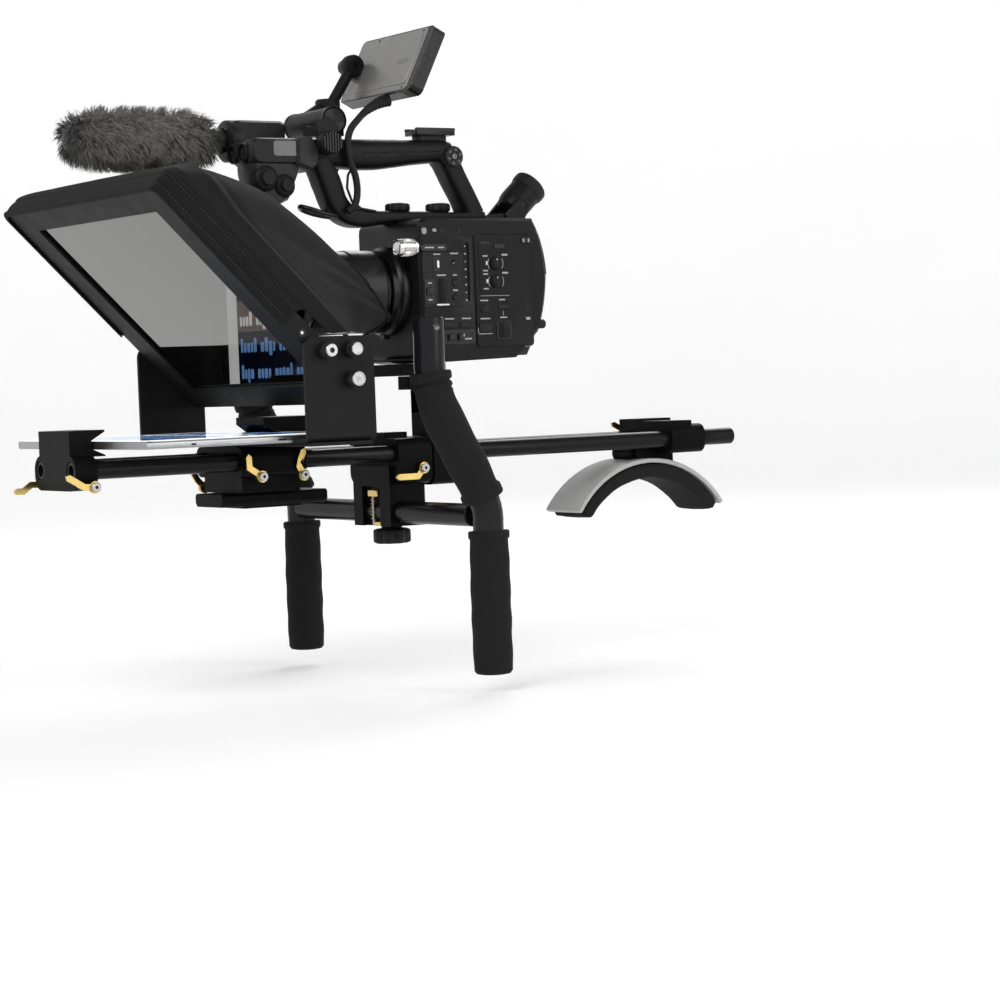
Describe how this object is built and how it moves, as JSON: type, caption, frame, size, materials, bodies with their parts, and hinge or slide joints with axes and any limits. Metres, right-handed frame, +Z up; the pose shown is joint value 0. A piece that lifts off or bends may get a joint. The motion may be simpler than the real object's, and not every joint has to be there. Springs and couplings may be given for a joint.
{
  "type": "shoulder camera rig",
  "caption": "Shoulder-mounted rod rig with a camcorder, an angled beam-splitter prompter and tablet, twin handlebar grips, a shotgun microphone, a small monitor and a curved shoulder pad.",
  "frame": {"origin": "centre of the underside of the tripod plate's foot", "axes": "-Y where the lens looks, +Y towards the shoulder pad, +X the operator's left, +Z up"},
  "size_m": [0.3512, 0.6776, 0.5409],
  "materials": {
    "anodised": "black anodised, satin",
    "powder": "black powder coat",
    "brass": "polished brass",
    "steel": "bright turned steel",
    "silver": "bead-blasted",
    "moulding": "fine-grained black moulding",
    "grey_shell": "satin grey",
    "foam": "closed-cell black foam",
    "hood_cloth": "charcoal woven cloth",
    "fur": "grey artificial fur",
    "mirror_glass": "half-silvered",
    "lens_glass": "coated",
    "rubber": "black rubber"
  },
  "bodies": {
    "rig": {"rod_left": "anodised", "rod_right": "anodised", "base_clamp": "anodised", "tripod_plate": "anodised", "bridge_plate": "powder", "bracket_left": "powder", "bracket_right": "powder", "tablet": "silver", "handlebar_clamp": "anodised", "camera_clamp": "anodised", "camera_post": "anodised", "camera_plate": "anodised", "camera_body": "moulding", "lens_mount": "moulding", "lens_barrel": "grey_shell", "lens_glass": "lens_glass", "top_handle": "moulding", "audio_unit": "moulding", "microphone": "grey_shell", "monitor_arm": "moulding", "monitor_cable": "rubber"},
    "front_clamp": {"front_clamp": "anodised"},
    "tablet_rear_jaw": {"tablet_rear_jaw": "anodised"},
    "glass_frame": {"glass_frame": "powder", "beam_splitter": "mirror_glass", "hood": "hood_cloth"},
    "crossbar": {"crossbar": "anodised"},
    "handle_left": {"handle_left": "anodised", "grip_upper_left": "foam", "grip_lower_left": "foam"},
    "handle_right": {"handle_right": "anodised", "grip_upper_right": "foam", "grip_lower_right": "foam"},
    "monitor_panel": {"monitor_panel": "grey_shell"},
    "shoulder_pad": {"shoulder_clamp": "anodised", "shoulder_shell": "grey_shell", "shoulder_foam": "foam"},
    "front_lever_left": {"front_lever_left": "brass"},
    "front_lever_right": {"front_lever_right": "brass"},
    "base_lever_front_left": {"base_lever_front_left": "brass"},
    "base_lever_rear_left": {"base_lever_rear_left": "brass"},
    "base_lever_right": {"base_lever_right": "brass"},
    "handlebar_lever": {"handlebar_lever": "brass"},
    "shoulder_lever": {"shoulder_lever": "brass"},
    "screw_knob_left_1": {"screw_knob_left_1": "steel"},
    "screw_knob_left_2": {"screw_knob_left_2": "steel"},
    "screw_knob_left_3": {"screw_knob_left_3": "steel"},
    "screw_knob_right_1": {"screw_knob_right_1": "steel"},
    "screw_knob_right_2": {"screw_knob_right_2": "steel"},
    "screw_knob_right_3": {"screw_knob_right_3": "steel"},
    "handlebar_knob": {"handlebar_knob": "rubber"},
    "focus_ring": {"focus_ring": "rubber"},
    "nd_dial": {"nd_dial": "silver"},
    "audio_dial_upper": {"audio_dial_upper": "moulding"},
    "audio_dial_lower": {"audio_dial_lower": "moulding"},
    "record_button": {"record_button": "steel"},
    "handle_knob_front": {"handle_knob_front": "moulding"},
    "handle_knob_rear": {"handle_knob_rear": "moulding"},
    "viewfinder": {"viewfinder": "moulding"},
    "windscreen": {"windscreen": "fur"}
  },
  "joints": [
    {"name": "front_clamp_slide", "type": "slide", "parent": "rig", "child": "front_clamp", "axis": [0, 1, 0], "range_m": [-0.01, 0]},
    {"name": "front_lever_left_swing", "type": "hinge", "parent": "front_clamp", "child": "front_lever_left", "pos_m": [0.045, -0.172, 0.026], "axis": [1, 0, 0], "range_deg": [0, 90]},
    {"name": "front_lever_right_swing", "type": "hinge", "parent": "front_clamp", "child": "front_lever_right", "pos_m": [-0.045, -0.1755, 0.027], "axis": [1, 0, 0], "range_deg": [0, 80]},
    {"name": "base_lever_front_left_swing", "type": "hinge", "parent": "rig", "child": "base_lever_front_left", "pos_m": [0.045, -0.0228, 0.0268], "axis": [1, 0, 0], "range_deg": [0, 70]},
    {"name": "base_lever_rear_left_swing", "type": "hinge", "parent": "rig", "child": "base_lever_rear_left", "pos_m": [0.045, 0.016, 0.0265], "axis": [1, 0, 0], "range_deg": [-70, 0]},
    {"name": "base_lever_right_swing", "type": "hinge", "parent": "rig", "child": "base_lever_right", "pos_m": [-0.045, -0.0305, 0.017], "axis": [1, 0, 0], "range_deg": [0, 80]},
    {"name": "handlebar_lever_swing", "type": "hinge", "parent": "rig", "child": "handlebar_lever", "pos_m": [0.045, 0.1325, 0.0264], "axis": [1, 0, 0], "range_deg": [0, 80]},
    {"name": "shoulder_lever_swing", "type": "hinge", "parent": "shoulder_pad", "child": "shoulder_lever", "pos_m": [-0.045, 0.4125, 0.04], "axis": [1, 0, 0], "range_deg": [-90, 0]},
    {"name": "tablet_rear_jaw_slide", "type": "slide", "parent": "rig", "child": "tablet_rear_jaw", "axis": [0, 1, 0], "range_m": [0, 0.02]},
    {"name": "glass_frame_tilt", "type": "hinge", "parent": "rig", "child": "glass_frame", "pos_m": [0, -0.0195, 0.127], "axis": [1, 0, 0], "range_deg": [-3, 3], "deforming": ["hood"]},
    {"name": "screw_knob_left_1_turn", "type": "hinge", "parent": "rig", "child": "screw_knob_left_1", "pos_m": [0.152, -0.0195, 0.127], "axis": [1, 0, 0], "continuous": true},
    {"name": "screw_knob_left_2_turn", "type": "hinge", "parent": "rig", "child": "screw_knob_left_2", "pos_m": [0.152, 0.0035, 0.1276], "axis": [1, 0, 0], "continuous": true},
    {"name": "screw_knob_left_3_turn", "type": "hinge", "parent": "rig", "child": "screw_knob_left_3", "pos_m": [0.152, 0.0039, 0.104], "axis": [1, 0, 0], "continuous": true},
    {"name": "screw_knob_right_1_turn", "type": "hinge", "parent": "rig", "child": "screw_knob_right_1", "pos_m": [-0.152, -0.0195, 0.127], "axis": [-1, 0, 0], "continuous": true},
    {"name": "screw_knob_right_2_turn", "type": "hinge", "parent": "rig", "child": "screw_knob_right_2", "pos_m": [-0.152, 0.0035, 0.1276], "axis": [-1, 0, 0], "continuous": true},
    {"name": "screw_knob_right_3_turn", "type": "hinge", "parent": "rig", "child": "screw_knob_right_3", "pos_m": [-0.152, 0.0039, 0.104], "axis": [-1, 0, 0], "continuous": true},
    {"name": "handlebar_knob_turn", "type": "hinge", "parent": "rig", "child": "handlebar_knob", "pos_m": [0, 0.1255, -0.023], "axis": [0, 0, 1], "continuous": true},
    {"name": "handlebar_tilt", "type": "hinge", "parent": "rig", "child": "crossbar", "pos_m": [0, 0.1185, -0.011], "axis": [1, 0, 0], "range_deg": [-25, 3]},
    {"name": "handle_left_swing", "type": "hinge", "parent": "crossbar", "child": "handle_left", "pos_m": [0.158, 0.1185, -0.011], "axis": [1, 0, 0], "range_deg": [-35, 6]},
    {"name": "handle_right_swing", "type": "hinge", "parent": "crossbar", "child": "handle_right", "pos_m": [-0.158, 0.1185, -0.011], "axis": [1, 0, 0], "range_deg": [-35, 6]},
    {"name": "focus_ring_turn", "type": "hinge", "parent": "rig", "child": "focus_ring", "pos_m": [0, 0.0545, 0.178], "axis": [0, 1, 0], "continuous": true},
    {"name": "nd_dial_turn", "type": "hinge", "parent": "rig", "child": "nd_dial", "pos_m": [0.0455, 0.1225, 0.2135], "axis": [0, -1, 0], "range_deg": [0, 270]},
    {"name": "audio_dial_upper_turn", "type": "hinge", "parent": "rig", "child": "audio_dial_upper", "pos_m": [0.052, 0.2075, 0.199], "axis": [1, 0, 0], "range_deg": [0, 300]},
    {"name": "audio_dial_lower_turn", "type": "hinge", "parent": "rig", "child": "audio_dial_lower", "pos_m": [0.052, 0.2075, 0.1835], "axis": [1, 0, 0], "range_deg": [0, 300]},
    {"name": "record_button_press", "type": "slide", "parent": "rig", "child": "record_button", "axis": [-1, 0, 0], "range_m": [0, 0.0015], "stiffness_N_per_m": 400, "springref_m": -0.0005},
    {"name": "handle_knob_front_turn", "type": "hinge", "parent": "rig", "child": "handle_knob_front", "pos_m": [0, 0.1435, 0.25], "axis": [0, 0, 1], "continuous": true},
    {"name": "handle_knob_rear_turn", "type": "hinge", "parent": "rig", "child": "handle_knob_rear", "pos_m": [0, 0.1845, 0.25], "axis": [0, 0, 1], "continuous": true},
    {"name": "viewfinder_tilt", "type": "hinge", "parent": "rig", "child": "viewfinder", "pos_m": [0, 0.2625, 0.252], "axis": [1, 0, 0], "range_deg": [0, 40]},
    {"name": "monitor_tilt", "type": "hinge", "parent": "rig", "child": "monitor_panel", "pos_m": [-0.048, 0.1282, 0.3765], "axis": [1, 0, 0], "range_deg": [-8, 30], "deforming": ["monitor_cable"]},
    {"name": "shoulder_pad_slide", "type": "slide", "parent": "rig", "child": "shoulder_pad", "axis": [0, 1, 0], "range_m": [-0.12, 0.035]},
    {"name": "windscreen_slide", "type": "slide", "parent": "rig", "child": "windscreen", "axis": [0, -1, 0], "range_m": [0, 0.12]}
  ]
}
